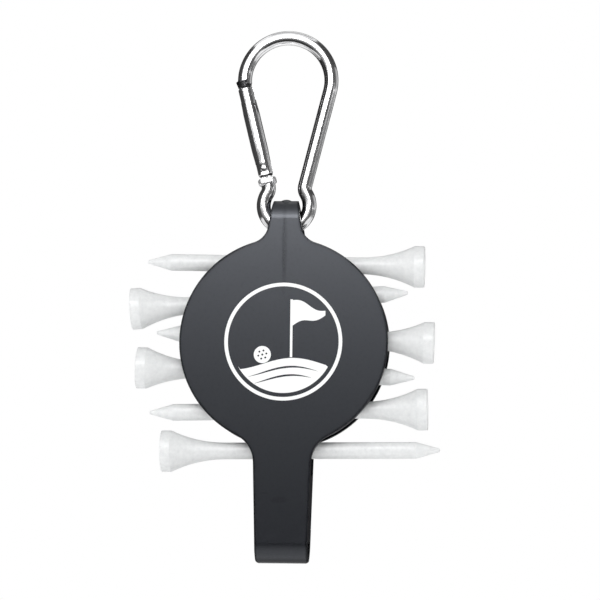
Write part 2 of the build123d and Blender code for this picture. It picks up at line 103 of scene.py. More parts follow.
# Black plastic: its colour where it is plain and where it is darkest, how far from its edges it
# looks darker in millimetres, between which cosines of the edge's turn, and what each mask counts.
PLASTIC_PLAIN = (0.0056, 0.0062, 0.0084)
PLASTIC_DARKEST = (0.001, 0.001, 0.001)
PLASTIC_TINT = (0.88, 0.92, 1.0, 1.0)
PLASTIC_GLOSS = 0.62
RIM_WIDTH = 1.0
RIM_START = 0.998
RIM_FULL = 0.94
RIM_SHARE = 0.85
MARKS_SHARE = 0.28
CLOUDS_SHARE = 0.22

# Space round the neck's line, where the rim's shade is left out: centre and reach in millimetres.
NECK_LINE = ((0.0, 0.0, 22.0), (2.4, 3.5, 20.0))

# Faint marks of the mould on the front plate: centre and reach (x, y, z) in millimetres, and depth.
MOULD_MARKS = [
    ((0.0, 0.0, 24.0), (0.9, 4.0, 15.0), 0.7),
    ((-0.5, 0.0, -39.6), (2.6, 1.5, 1.2), 0.5),
    ((-0.5, 0.0, -47.3), (0.22, 1.5, 1.2), -0.5),
    ((-4.2, 0.0, -37.9), (1.5, 1.5, 0.2), 0.5),
    ((-2.8, 0.0, -49.8), (0.35, 1.5, 0.3), -0.6),
    ((4.6, 0.0, -51.2), (0.35, 1.5, 0.3), -0.6),
]

# Chrome: its roughness, and what is left of its colour under painted shade: a painted dark
# reflection of the gate along the inside of the leg, and painted shade at the gate's heel, in its
# gap to the collar. The leg's painted reflection is on faces that turn to the left, from this far
# right of the middle, in millimetres.
CHROME_ROUGHNESS = 0.15
LEG_SHADE = 0.4
LEG_SHADE_TURN = (-0.40, -0.65)
LEG_SHADE_FROM = (1, 3)
HEEL_SHADE = 0.06

# Carabiner, in millimetres. These sizes are the CAD model's.
MID_Y = 5.0
WIRE_RADIUS = 1.78
TOP_BOW_RADIUS = 11.0
BOW_SPAN = 31.9
LOW_BOW_RADIUS = 5.8
LOW_BOW_Z = 34.9062
LEAN = math.radians(14.0)
WAIST_RADIUS = 2.6
GATE_PIVOT_RISE = 9.4
COLLAR_RADIUS = 2.3
NOSE_RADIUS = 1.98
NOSE_FLARE = 1.9
NOSE_LIFT = 0.9
GATE_BODY_RADIUS = 2.08
GATE_END_LENGTH = 3.6
GATE_BORE = 1.1
GATE_GAP = 0.25
TONGUE_THICKNESS = 1.1
TONGUE_RADIUS = 1.1
SLOT_WIDTH = 1.3
SLOT_DEPTH = 1.5
LATCH_SLOT = 3.4
LATCH_PIN_DEPTH = 1.6
LATCH_PIN_RADIUS = 0.45
HOOK_WIDTH = 1.9
HOOK_GAP = 0.15
PIN_RADIUS = 0.5

# Worked out from them, as in the CAD model.
TOP_BOW_Z = LOW_BOW_Z + BOW_SPAN
GATE_PIVOT_Z = LOW_BOW_Z + GATE_PIVOT_RISE
LEG_X = TOP_BOW_RADIUS * math.cos(LEAN)
LEG_Z = TOP_BOW_Z - TOP_BOW_RADIUS * math.sin(LEAN)
NOSE_START = (LEG_Z - GATE_PIVOT_Z) / math.cos(LEAN) + NOSE_LIFT
GATE_LENGTH = NOSE_START - GATE_GAP
PIVOT_X = -(LEG_X - (LEG_Z - GATE_PIVOT_Z) * math.tan(LEAN))
GATE_AXIS = (-math.sin(LEAN), 0, math.cos(LEAN))

# Softer forms of the collar, the nose, the gate and its rivet, in millimetres. Heights along the
# gate are from its pivot, and COLLAR_SQUARE is the power of the collar's outline, 2 for a circle.
COLLAR_TOP = -2.5
COLLAR_LENGTH = 1.7
COLLAR_ROUND = 0.55
COLLAR_SQUARE = 3.6
NOSE_END_RADIUS = 1.68
NOSE_ROUND = 0.2
GATE_END_RADIUS = 1.95
GATE_SHOULDER = 3.6
GATE_ROUND = 0.2
GATE_HEEL = 2.1
GATE_HEEL_ROUND = 0.8
GATE_PAD = 1.72
GATE_PAD_TOP = -0.9
# Where the painted shade at the gate's heel, in its gap to the collar, starts and is full.
HEEL_SHADE_START = -1.45
HEEL_SHADE_FULL = -1.85
RIVET_RADIUS = 0.95
RIVET_RISE = 0.28
RIVET_DOME = 1.6 * RIVET_RISE

# How finely these are divided, how far pieces run into each other and cutters run past, and the
# points that hold the shading of long runs straight, in millimetres.
RING_PITCH = 0.5
WIRE_SIDES = 64
COLLAR_SIDES = 80
HEEL_STEPS = 12
DOME_STEPS = 8
SINK = 0.3
CUT_PAST = 1.0
BORE_LEAD = 0.5
HOLD = 0.08
MERGE = 0.0005

# Emblem printed on the disc, in millimetres from the disc's centre: a ring, a hill with two contour
# lines, each as (depth below the brow, reach to each side), a flag on its pole, and a ball.
PRINT_THICKNESS = 0.03
PRINT_SINK = 0.002
RING_RADII = (14.8, 13.9)
FIELD_RADIUS = 12.9
FIELD_EDGE = -6.3
HILL_LEVEL = -5.6
HILL_SWELL = 1.5
HILL_MIDDLE = 2.5
HILL_WAVE = 0.21
CONTOURS = ((2.2, 9.0), (4.3, 7.4))
CONTOUR_HALF = 0.25
HILL_STEPS = 40
POLE_SIDES = (1.7, 2.3)
POLE_FOOT = -3.9
POLE_TOP = 10.6
CLOTH_FOOT = 3.6
CLOTH_SPAN = (4.0, 10.4)
CLOTH_LENGTH = 8.2
CLOTH_SWAY = 0.55
CLOTH_TAPER = 0.82
CLOTH_STEPS = 24
BALL_CENTRE = (-5.2, -3.3)
BALL_RADIUS = 2.15
DIMPLE_MIDDLE = 0.27
DIMPLE_RADIUS = 0.25
DIMPLE_REACH = 1.05
DIMPLE_TURN = 15


# Shader helpers.

def new_material(name):
    """Empty node material with a Principled shader, returned with its tree and that shader."""
    material = bpy.data.materials.new(name)
    material.use_nodes = True
    tree = material.node_tree
    return material, tree, tree.nodes["Principled BSDF"]


def add_node(tree, kind, **values):
    """New node with its plain properties or its named inputs set."""
    node = tree.nodes.new(kind)
    for key, value in values.items():
        if key in node.inputs:
            node.inputs[key].default_value = value
        else:
            setattr(node, key, value)
    return node


def object_point(tree, vector_type="POINT", **values):
    """Place in the object's own space, in metres, taken through a mapping."""
    place = add_node(tree, "ShaderNodeTexCoord")
    mapping = add_node(tree, "ShaderNodeMapping", vector_type=vector_type, **values)
    tree.links.new(place.outputs["Object"], mapping.inputs["Vector"])
    return mapping.outputs["Vector"]


def component(tree, vector, axis):
    """One of a vector's numbers, by its axis."""
    parts = add_node(tree, "ShaderNodeSeparateXYZ")
    tree.links.new(vector, parts.inputs["Vector"])
    return parts.outputs[axis]


def noise(tree, scale, detail=2.0, roughness=0.5, stretch=(1, 1, 1)):
    """Object-space noise of the given scale per metre."""
    texture = add_node(tree, "ShaderNodeTexNoise", Scale=scale, Detail=detail, Roughness=roughness)
    tree.links.new(object_point(tree, Scale=stretch), texture.inputs["Vector"])
    return texture.outputs["Fac"]


def ramp(tree, factor, low, high, start=0.0, end=1.0):
    """Colour that runs from low to high as the factor runs from start to end."""
    node = tree.nodes.new("ShaderNodeValToRGB")
    for stop, place, colour in zip(node.color_ramp.elements, (start, end), (low, high)):
        stop.position = place
        stop.color = (*colour, 1)
    tree.links.new(factor, node.inputs["Fac"])
    return node.outputs["Color"]


def map_range(tree, value, start, end, low, high, kind="LINEAR"):
    """Number that runs from low to high as the value goes from start to end."""
    node = add_node(tree, "ShaderNodeMapRange", interpolation_type=kind)
    for name, number in zip(("From Min", "From Max", "To Min", "To Max"), (start, end, low, high)):
        node.inputs[name].default_value = number
    tree.links.new(value, node.inputs["Value"])
    return node.outputs["Result"]


def spread(tree, factor, low, high):
    """Number that runs from low to high with a factor."""
    return map_range(tree, factor, 0.0, 1.0, low, high)


def smooth_step(tree, value, start, end, low=0.0, high=1.0):
    """Number that eases from low to high as the value goes from start to end."""
    return map_range(tree, value, start, end, low, high, "SMOOTHSTEP")


def combine(tree, operation, first, second):
    """Math node on two values, each a socket or a number."""
    node = add_node(tree, "ShaderNodeMath", operation=operation)
    for socket, value in zip(node.inputs, (first, second)):
        if isinstance(value, (int, float)):
            socket.default_value = value
        else:
            tree.links.new(value, socket)
    return node.outputs[0]


def bump(tree, shader, height, depth, strength=1.0):
    """Bump of the given depth in metres."""
    node = add_node(tree, "ShaderNodeBump", Strength=strength, Distance=depth)
    tree.links.new(height, node.inputs["Height"])
    tree.links.new(node.outputs["Normal"], shader.inputs["Normal"])


def tint(tree, shader, factor, low, high, start=0.0, end=1.0):
    """Base colour that runs from low to high as the factor runs from start to end."""
    tree.links.new(ramp(tree, factor, low, high, start, end), shader.inputs["Base Color"])


def roughen(tree, shader, factor, low, high):
    """Roughness that runs from low to high with a factor."""
    tree.links.new(spread(tree, factor, low, high), shader.inputs["Roughness"])


def multiply_colour(tree, shader, factor):
    """Multiplies the shader's linked base colour by a factor."""
    mix = add_node(tree, "ShaderNodeMix", data_type="RGBA", blend_type="MULTIPLY")
    share, first, second = (mix.inputs[index] for index in (0, 6, 7))
    share.default_value = 1.0
    tree.links.new(shader.inputs["Base Color"].links[0].from_socket, first)
    tree.links.new(factor, second)
    tree.links.new(mix.outputs[2], shader.inputs["Base Color"])


def soft_spot(tree, centre, reach, depth):
    """The depth inside an ellipsoid, given in millimetres, fading to nothing at its surface."""
    point = object_point(tree, "TEXTURE", Location=[part * MM for part in centre],
                         Scale=[part * MM for part in reach])
    length = add_node(tree, "ShaderNodeVectorMath", operation="LENGTH")
    tree.links.new(point, length.inputs[0])
    return smooth_step(tree, length.outputs["Value"], 1.0, 0.4, 0.0, depth)


def rim_shade(tree):
    """One next to the plate's sharp edges and nothing away from them and round the neck's line."""
    edge = add_node(tree, "ShaderNodeBevel", samples=6, Radius=RIM_WIDTH * MM)
    true = add_node(tree, "ShaderNodeNewGeometry")
    dot = add_node(tree, "ShaderNodeVectorMath", operation="DOT_PRODUCT")
    for node, socket in zip((edge, true), dot.inputs):
        tree.links.new(node.outputs["Normal"], socket)
    fade = smooth_step(tree, dot.outputs["Value"], RIM_START, RIM_FULL)
    away = combine(tree, "SUBTRACT", 1.0, soft_spot(tree, *NECK_LINE, 1.0))
    return combine(tree, "MULTIPLY", fade, away)


# Materials of the object.

def plastic_material():
    """Moulded black plastic, darker at its edges and at the marks of the mould."""
    material, tree, shader = new_material("plate_plastic")
    dark = spread(tree, noise(tree, 1100, detail=4, roughness=0.7), -CLOUDS_SHARE, CLOUDS_SHARE)
    dark = combine(tree, "ADD", dark, combine(tree, "MULTIPLY", rim_shade(tree), RIM_SHARE))
    for centre, reach, depth in MOULD_MARKS:
        dark = combine(tree, "ADD", dark, soft_spot(tree, centre, reach, depth * MARKS_SHARE))
    tint(tree, shader, dark, PLASTIC_PLAIN, PLASTIC_DARKEST)
    grain = noise(tree, 5200, detail=3, roughness=0.6)
    roughen(tree, shader, grain, 0.29, 0.34)
    bump(tree, shader, grain, 0.02 * MM, 0.35)
    tree.links.new(spread(tree, dark, PLASTIC_GLOSS, 0.0), shader.inputs["Specular IOR Level"])
    shader.inputs["Specular Tint"].default_value = PLASTIC_TINT
    return material


def rubber_material():
    """Matte black rubber."""
    material, tree, shader = new_material("grip_rubber")
    grain = noise(tree, 3000, detail=3)
    tint(tree, shader, grain, (0.012, 0.012, 0.012), (0.022, 0.022, 0.022))
    roughen(tree, shader, grain, 0.7, 0.85)
    bump(tree, shader, grain, 0.03 * MM, 0.4)
    return material


def paint_material():
    """White paint over wood, with slight runs along the tee."""
    material, tree, shader = new_material("tee_paint")
    clouds = noise(tree, 800, detail=4, roughness=0.65)
    tint(tree, shader, clouds, (0.69, 0.70, 0.705), (0.78, 0.79, 0.79), 0.3, 0.7)
    roughen(tree, shader, clouds, 0.24, 0.34)
    bump(tree, shader, noise(tree, 700, detail=3, stretch=(0.5, 1, 1)), 0.2 * MM, 0.4)
    shader.inputs["Specular IOR Level"].default_value = 0.25
    return material


def ink_material():
    """White ink of the emblem."""
    material, tree, shader = new_material("white_ink")
    mottle = noise(tree, 1800, detail=3)
    tint(tree, shader, mottle, (0.80, 0.80, 0.80), (0.87, 0.87, 0.87))
    roughen(tree, shader, mottle, 0.42, 0.55)
    bump(tree, shader, mottle, 0.01 * MM, 0.3)
    return material


def metal_material(name, colour, roughness, brushed=False):
    """Metal with faint wipe marks, or with brushing along X."""
    material, tree, shader = new_material(name)
    stretch = (60, 900, 900) if brushed else (300, 300, 300)
    marks = noise(tree, 1.0, detail=5, roughness=0.6, stretch=stretch)
    tint(tree, shader, marks, tuple(0.88 * part for part in colour), colour, 0.3, 0.7)
    roughen(tree, shader, marks, 0.8 * roughness, 1.25 * roughness)
    shader.inputs["Metallic"].default_value = 1.0
    if brushed:
        bump(tree, shader, marks, 0.01 * MM, 0.3)
    return material


def ring_material():
    """Chrome, darker along the inside of the leg across from the gate with a painted dark
    reflection of the gate.
    """
    material = metal_material("frame_chrome", (0.92, 0.92, 0.93), CHROME_ROUGHNESS)
    tree = material.node_tree
    place = add_node(tree, "ShaderNodeTexCoord")
    turn = component(tree, place.outputs["Normal"], "X")
    across = component(tree, place.outputs["Object"], "X")
    start, end = LEG_SHADE_FROM
    leg_shade = combine(tree, "MULTIPLY", smooth_step(tree, turn, *LEG_SHADE_TURN),
                      smooth_step(tree, across, start * MM, end * MM))
    multiply_colour(tree, tree.nodes["Principled BSDF"], spread(tree, leg_shade, 1.0, LEG_SHADE))
    return material


def gate_material():
    """Chrome darkened round the foot of the gate with painted shade, for its gap to the collar."""
    material = metal_material("gate_chrome", (0.90, 0.90, 0.91), CHROME_ROUGHNESS)
    tree = material.node_tree
    pivot = (PIVOT_X * MM, MID_Y * MM, GATE_PIVOT_Z * MM)
    point = object_point(tree, "TEXTURE", Location=pivot, Rotation=(0, -LEAN, 0))
    along = component(tree, point, "Z")
    unshaded = smooth_step(tree, along, HEEL_SHADE_FULL * MM, HEEL_SHADE_START * MM, HEEL_SHADE)
    multiply_colour(tree, tree.nodes["Principled BSDF"], unshaded)
    return material


def nose_material():
    """Wire end made dark with painted shade, so that it does not mirror the light."""
    material, tree, shader = new_material("nose_painted_shade")
    marks = noise(tree, 1.0, detail=4, roughness=0.6, stretch=(900, 900, 900))
    tint(tree, shader, marks, (0.08, 0.08, 0.085), (0.13, 0.13, 0.135), 0.3, 0.7)
    roughen(tree, shader, marks, 0.20, 0.30)
    shader.inputs["Metallic"].default_value = 1.0
    return material


# The record's material slots: those with a material of their own, and the plain steels, each as its
# colour, its roughness and whether it is brushed.
MATERIALS = {
    "plate": plastic_material,
    "grip": rubber_material,
    "tee_paint": paint_material,
    "chrome": ring_material,
    "gate_chrome": gate_material,
}
STEELS = {
    "fork_steel": ((0.56, 0.56, 0.57), 0.3, True),
    "rivet_steel": ((0.6, 0.6, 0.61), 0.22, False),
    "washer_steel": ((0.5, 0.5, 0.51), 0.3, False),
    "screw_steel": ((0.2, 0.2, 0.21), 0.3, False),
    "inner_steel": ((0.4, 0.4, 0.41), 0.3, False),
}


def dress_nodes(frame):
    """Give each CAD node the material of its slot, and return the materials by slot."""
    made = {slot: make() for slot, make in MATERIALS.items()}
    made.update({slot: metal_material(slot, *finish) for slot, finish in STEELS.items()})
    slots = {part["node"]: part["material_slot"] for part in frame["record"]["subparts"]}
    for node, thing in frame["nodes"].items():
        thing.data.materials.clear()
        thing.data.materials.append(made[slots[node]])
    return made


# Shape helpers. They work in millimetres until a mesh is made.

def link_object(name, data):
    """New object of the scene."""
    thing = bpy.data.objects.new(name, data)
    bpy.context.scene.collection.objects.link(thing)
    return thing


def mesh_object(name, work):
    """New object of the scene from a bmesh in metres, which is freed."""
    mesh = bpy.data.meshes.new(name)
    work.to_mesh(mesh)
    work.free()
    return link_object(name, mesh)


def new_piece(name, work, material, body, crease=35):
    """Piece from a bmesh in millimetres, smooth but for edges sharper than the crease."""
    bmesh.ops.remove_doubles(work, verts=work.verts, dist=MERGE)
    bmesh.ops.recalc_face_normals(work, faces=work.faces)
    for face in work.faces:
        face.smooth = True
    for edge in work.edges:
        edge.smooth = len(edge.link_faces) == 2 and edge.calc_face_angle(0) < math.radians(crease)
    bmesh.ops.scale(work, vec=(MM, MM, MM), verts=work.verts)
    piece = mesh_object(name, work)
    piece.data.materials.append(material)
    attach(piece, body)
    return piece


def cut(piece, name, fill, *shape):
    """Takes out of the piece the solid that a function makes of its values, in millimetres."""
    work = bmesh.new()
    fill(work, *shape)
    bmesh.ops.recalc_face_normals(work, faces=work.faces)
    bmesh.ops.scale(work, vec=(MM, MM, MM), verts=work.verts)
    cutter = mesh_object(name, work)
    change = piece.modifiers.new("cut", "BOOLEAN")
    change.operation = "DIFFERENCE"
    change.solver = "EXACT"
    change.object = cutter
    graph = bpy.context.evaluated_depsgraph_get()
    done = bpy.data.meshes.new_from_object(piece.evaluated_get(graph))
    piece.modifiers.clear()
    piece.data = done
    bpy.data.objects.remove(cutter)


def turns(count):
    """Angles that divide a full turn into a count."""
    return [2 * math.pi * step / count for step in range(count)]


def hoop(work, middle, side, other, radius, count):
    """Circle of vertices about a middle, in the plane of two unit vectors."""
    return [work.verts.new(middle + (side * math.cos(turn) + other * math.sin(turn)) * radius)
            for turn in turns(count)]


def bridge(work, rings):
    """Skin between rings of vertices, with a flat cap at each end."""
    for low, high in zip(rings, rings[1:]):
        count = len(low)
        for index in range(count):
            other = (index + 1) % count
            work.faces.new((low[index], low[other], high[other], high[index]))
    work.faces.new(rings[0][::-1])
    work.faces.new(rings[-1])


def held(profile):
    """The profile with a point close to each end of its long runs, which keeps them straight."""
    points = [profile[0]]
    for low, high in zip(profile, profile[1:]):
        length = math.dist(low, high)
        if length > 6 * HOLD:
            for share in (HOLD / length, 1 - HOLD / length):
                points.append(tuple(a + (b - a) * share for a, b in zip(low, high)))
        points.append(high)
    return points


def lathe(work, profile, origin, axis, steps=72):
    """Solid of revolution from points (radius, distance along the axis)."""
    axis = Vector(axis).normalized()
    side = axis.orthogonal().normalized()
    other = axis.cross(side)
    bridge(work, [hoop(work, Vector(origin) + axis * along, side, other, radius, steps)
                  for radius, along in held(profile)])


def rounded_bar(radius, low, high, rounding, steps=5):
    """Profile of a bar with rounded rims."""
    angles = [math.pi / 2 * step / steps for step in range(steps + 1)]
    rise = [(radius - rounding * (1 - math.sin(angle)), low + rounding * (1 - math.cos(angle)))
            for angle in angles]
    fall = [(radius - rounding * (1 - math.cos(angle)), high - rounding * (1 - math.sin(angle)))
            for angle in angles]
    return rise + fall


def arc(radius, start, end, count, centre=(0, 0)):
    """Points along an arc, between two angles in degrees from the right."""
    points = []
    for step in range(count + 1):
        angle = math.radians(start + (end - start) * step / count)
        points.append((centre[0] + radius * math.cos(angle), centre[1] + radius * math.sin(angle)))
    return points


def circle(radius, count, centre=(0, 0)):
    """Closed outline of a circle."""
    return arc(radius, 0, 360, count, centre)[:-1]


def oblong(left, right, low, high):
    """Closed outline of a rectangle."""
    return [(left, low), (right, low), (right, high), (left, high)]


# Carabiner.

def gate_point(across, along, depth=0.0):
    """Point in the gate's own view: across into the ring, along to the nose, depth to the back."""
    x = PIVOT_X + across * math.cos(LEAN) - along * math.sin(LEAN)
    z = GATE_PIVOT_Z + across * math.sin(LEAN) + along * math.cos(LEAN)
    return Vector((x, MID_Y + depth, z))


def gate_slab(work, outline, thickness, depth=0.0):
    """Flat block with its outline in the gate's own view, centred at a depth."""
    faces = (depth - thickness / 2, depth + thickness / 2)
    bridge(work, [[work.verts.new(gate_point(across, along, face)) for across, along in outline]
                  for face in faces])


def bow_points(centre_z, radius, start, end):
    """Points (x, z) round a bow between two angles in degrees, about the ring's pitch apart."""
    count = max(2, round(abs(math.radians(end - start)) * radius / RING_PITCH))
    return arc(radius, start, end, count, (0, centre_z))


def ring_path():
    """Centre line (x, z) of the wire from the nose round to the collar."""
    lean = math.degrees(LEAN)
    nose_angle = 180 + lean - math.degrees((NOSE_LIFT + NOSE_FLARE / 2) / TOP_BOW_RADIUS)
    path = bow_points(TOP_BOW_Z, TOP_BOW_RADIUS, nose_angle, -lean)
    # The waist's turn touches the leg's line and the lower bow. Its centre is found from the lower
    # bow's centre, on the line beside the leg and one turn away from the bow.
    down = Vector((-math.sin(LEAN), -math.cos(LEAN)))
    out = Vector((math.cos(LEAN), -math.sin(LEAN)))
    start = Vector((LEG_X, LEG_Z - LOW_BOW_Z)) + out * WAIST_RADIUS
    along = start.dot(down)
    reach = LOW_BOW_RADIUS + WAIST_RADIUS
    length = -along - math.sqrt(along ** 2 - start.dot(start) + reach ** 2)
    centre = start + down * length
    count = round(length / RING_PITCH)
    path += [(LEG_X + down.x * length * step / count, LEG_Z + down.y * length * step / count)
             for step in range(1, count)]
    to_leg = math.degrees(math.atan2(-out.y, -out.x)) % 360
    to_bow = math.degrees(math.atan2(-centre.y, -centre.x)) % 360
    steps = max(6, round(math.radians(to_bow - to_leg) * WAIST_RADIUS / RING_PITCH * 2))
    waist = arc(WAIST_RADIUS, to_leg, to_bow, steps, (centre.x, LOW_BOW_Z + centre.y))
    path += waist
    meet = math.degrees(math.atan2(centre.y, centre.x))
    path += bow_points(LOW_BOW_Z, LOW_BOW_RADIUS, meet, -180 - meet)[1:-1]
    path += [(-x, z) for x, z in reversed(waist)]
    end = gate_point(0, COLLAR_TOP - COLLAR_LENGTH / 2)
    path.append((end.x, end.z))
    return path


def wire(work, path, radius):
    """Round wire along a line in the ring's plane."""
    back = Vector((0, 1, 0))
    rings = []
    for index, (x, z) in enumerate(path):
        before = Vector(path[max(index - 1, 0)])
        after = Vector(path[min(index + 1, len(path) - 1)])
        ahead = (after - before).normalized()
        side = Vector((-ahead.y, 0, ahead.x))
        rings.append(hoop(work, Vector((x, MID_Y, z)), side, back, radius, WIRE_SIDES))
    bridge(work, rings)


def build_ring(chrome):
    """The carabiner's bent wire, with the tongue in the gate's foot and the nose's hook."""
    work = bmesh.new()
    wire(work, ring_path(), WIRE_RADIUS)
    gate_slab(work, circle(TONGUE_RADIUS, 40), TONGUE_THICKNESS)
    gate_slab(work, oblong(-TONGUE_RADIUS, TONGUE_RADIUS, COLLAR_TOP - SINK, 0), TONGUE_THICKNESS)
    left = -HOOK_WIDTH / 2 - HOOK_GAP
    right = HOOK_WIDTH / 2
    stem_right = -(LATCH_PIN_RADIUS + HOOK_GAP)
    low = GATE_LENGTH - LATCH_SLOT + HOOK_GAP
    top = GATE_LENGTH - LATCH_PIN_DEPTH - LATCH_PIN_RADIUS - HOOK_GAP
    root = NOSE_START + SINK
    gate_slab(work, [(left, low), (right, low), (right, top), (stem_right, top), (stem_right, root),
                     (left, root)], TONGUE_THICKNESS)
    piece = new_piece("ring_wire", work, chrome, "carabiner")
    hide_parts("carabiner_frame")


def build_collar():
    """The flared seat at the foot of the gate, a little squared."""
    work = bmesh.new()
    profile = rounded_bar(COLLAR_RADIUS, COLLAR_TOP - COLLAR_LENGTH, COLLAR_TOP, COLLAR_ROUND)
    outline = []
    for turn in turns(COLLAR_SIDES):
        across, deep = math.cos(turn), math.sin(turn)
        power = abs(across) ** COLLAR_SQUARE + abs(deep) ** COLLAR_SQUARE
        out = 1 / power ** (1 / COLLAR_SQUARE)
        outline.append((out * across, out * deep))
    bridge(work, [[work.verts.new(gate_point(radius * across, along, radius * deep))
                   for across, deep in outline] for radius, along in held(profile)])
    tumbled = metal_material("tumbled_collar", (0.95, 0.95, 0.96), 0.45)
    new_piece("ring_collar", work, tumbled, "carabiner")


def build_nose():
    """The flared end of the wire that the gate closes on."""
    work = bmesh.new()
    taper = []
    profile = rounded_bar(NOSE_RADIUS, NOSE_START, NOSE_START + NOSE_FLARE, NOSE_ROUND)
    for radius, along in held(profile):
        share = (along - NOSE_START) / NOSE_FLARE
        taper.append((radius - (NOSE_RADIUS - NOSE_END_RADIUS) * (1 - share), along))
    lathe(work, taper, gate_point(0, 0), GATE_AXIS)
    new_piece("ring_nose", work, nose_material(), "carabiner")


def gate_profile():
    """Profile of the tube: its rounded heel, its two long shoulders and its tip."""
    bar = (GATE_END_RADIUS, -GATE_HEEL, GATE_LENGTH)
    heel = rounded_bar(*bar, GATE_HEEL_ROUND, HEEL_STEPS)
    tip = rounded_bar(*bar, GATE_ROUND)
    low = GATE_END_LENGTH - GATE_END_RADIUS
    high = GATE_LENGTH - GATE_END_LENGTH
    rise = []
    for step in range(HEEL_STEPS + 1):
        share = (1 - math.cos(math.pi * step / HEEL_STEPS)) / 2
        rise.append((GATE_END_RADIUS + (GATE_BODY_RADIUS - GATE_END_RADIUS) * share,
                     GATE_SHOULDER * step / HEEL_STEPS))
    return (heel[:len(heel) // 2] + [(radius, low + along) for radius, along in rise]
            + [(radius, high - along) for radius, along in reversed(rise)] + tip[len(tip) // 2:])


def build_gate(chrome):
    """The gate's tube with a flat pad on each side of its heel, a slot at each end and its bore."""
    work = bmesh.new()
    lathe(work, gate_profile(), gate_point(0, 0), GATE_AXIS)
    piece = new_piece("gate_tube", work, chrome, "gate")
    wide = 2 * GATE_BODY_RADIUS
    past = GATE_LENGTH + CUT_PAST
    pad = oblong(-wide, wide, -wide, GATE_PAD_TOP)
    pad_depth = GATE_PAD + CUT_PAST / 2
    cuts = [
        (pad, CUT_PAST, pad_depth),
        (pad, CUT_PAST, -pad_depth),
        (oblong(-wide, wide, -wide, SLOT_DEPTH), SLOT_WIDTH, 0),
        (oblong(-wide, wide, GATE_LENGTH - LATCH_SLOT, past), SLOT_WIDTH, 0),
    ]
    for outline, thickness, depth in cuts:
        cut(piece, "slot", gate_slab, outline, thickness, depth)
    bore = [(GATE_BORE, SLOT_DEPTH - BORE_LEAD), (GATE_BORE, past)]
    cut(piece, "bore", lathe, bore, gate_point(0, 0), GATE_AXIS)
    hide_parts("carabiner_gate")


def build_rivet(steel):
    """The gate's rivet with a low dome on each side."""
    work = bmesh.new()
    base = GATE_END_RADIUS + RIVET_RISE - RIVET_DOME
    angles = [math.pi / 2 * step / DOME_STEPS for step in range(DOME_STEPS)]
    dome = [(RIVET_RADIUS * math.cos(angle), base + RIVET_DOME * math.sin(angle))
            for angle in angles]
    profile = [(radius, -along) for radius, along in reversed(dome)]
    profile += [(PIN_RADIUS, -base), (PIN_RADIUS, base)] + dome
    lathe(work, profile, gate_point(0, 0), (0, 1, 0), steps=40)
    piece = new_piece("gate_rivet", work, steel, "gate")
    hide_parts("gate_pin")


# Emblem.

def hill_top(x):
    """Height of the hill's brow."""
    return HILL_LEVEL + HILL_SWELL * math.cos((x - HILL_MIDDLE) * HILL_WAVE)


def field_outlines():
    """Closed outlines of the ring and of the hill inside it. Nested outlines are holes."""
    edge = math.degrees(math.asin(FIELD_EDGE / FIELD_RADIUS))
    hill = arc(FIELD_RADIUS, 180 - edge, 360 + edge, 60)
    left, right = hill[0][0], hill[-1][0]
    for step in range(1, HILL_STEPS):
        x = right + (left - right) * step / HILL_STEPS
        hill.append((x, hill_top(x)))
    shapes = [circle(radius, 120) for radius in RING_RADII] + [hill]
    for drop, reach in CONTOURS:
        upper = []
        lower = []
        for step in range(HILL_STEPS + 1):
            x = -reach + 2 * reach * step / HILL_STEPS
            half = CONTOUR_HALF * (1 - (x / reach) ** 2)
            upper.append((x, hill_top(x) - drop + half))
            lower.append((x, hill_top(x) - drop - half))
        shapes.append(upper + lower[-2:0:-1])
    return shapes


def flag_outlines():
    """Closed outline of the pole and its waving cloth, which narrows to its free end."""
    left, right = POLE_SIDES
    low, top = CLOTH_SPAN
    lower = []
    upper = []
    for step in range(CLOTH_STEPS + 1):
        share = step / CLOTH_STEPS
        middle = (top + low) / 2 + CLOTH_SWAY * math.sin(share * 2 * math.pi)
        half = (top - low) / 2 * (1 - CLOTH_TAPER * share)
        lower.append((right + CLOTH_LENGTH * share, middle - half))
        upper.append((right + CLOTH_LENGTH * share, middle + half))
    foot = [(left, POLE_FOOT), (right, POLE_FOOT), (right, CLOTH_FOOT)]
    return [foot + lower + upper[::-1] + [(right, POLE_TOP), (left, POLE_TOP)]]


def ball_outlines():
    """Closed outlines of the ball and its dimples."""
    spots = arc(DIMPLE_REACH, DIMPLE_TURN, 360 + DIMPLE_TURN, 6, BALL_CENTRE)[:-1]
    return ([circle(BALL_RADIUS, 48, BALL_CENTRE), circle(DIMPLE_MIDDLE, 14, BALL_CENTRE)]
            + [circle(DIMPLE_RADIUS, 14, spot) for spot in spots])


def print_piece(name, outlines, ink):
    """Thin layer of ink on the front face."""
    curve = bpy.data.curves.new(name, "CURVE")
    curve.dimensions = "2D"
    curve.fill_mode = "BOTH"
    curve.extrude = PRINT_THICKNESS / 2 * MM
    for outline in outlines:
        spline = curve.splines.new("POLY")
        spline.points.add(len(outline) - 1)
        for point, (x, z) in zip(spline.points, outline):
            point.co = (x * MM, z * MM, 0, 1)
        spline.use_cyclic_u = True
    shape = bpy.data.objects.new(name + "_curve", curve)
    flat = bpy.data.meshes.new_from_object(shape)
    flat.transform(Matrix.Translation((0, (PRINT_SINK - PRINT_THICKNESS / 2) * MM, 0))
                   @ Matrix.Rotation(math.radians(90), 4, "X"))
    bpy.data.objects.remove(shape)
    work = bmesh.new()
    work.from_mesh(flat)
    bpy.data.meshes.remove(flat)
    bmesh.ops.remove_doubles(work, verts=work.verts, dist=0.001 * MM)
    bmesh.ops.recalc_face_normals(work, faces=work.faces)
    piece = mesh_object(name, work)
    piece.data.materials.append(ink)
    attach(piece, "holder")


def build_emblem():
    """The white print on the disc, as three pieces."""
    ink = ink_material()
    print_piece("print_field", field_outlines(), ink)
    print_piece("print_flag", flag_outlines(), ink)
    print_piece("print_ball", ball_outlines(), ink)


# Stage, lights and camera.

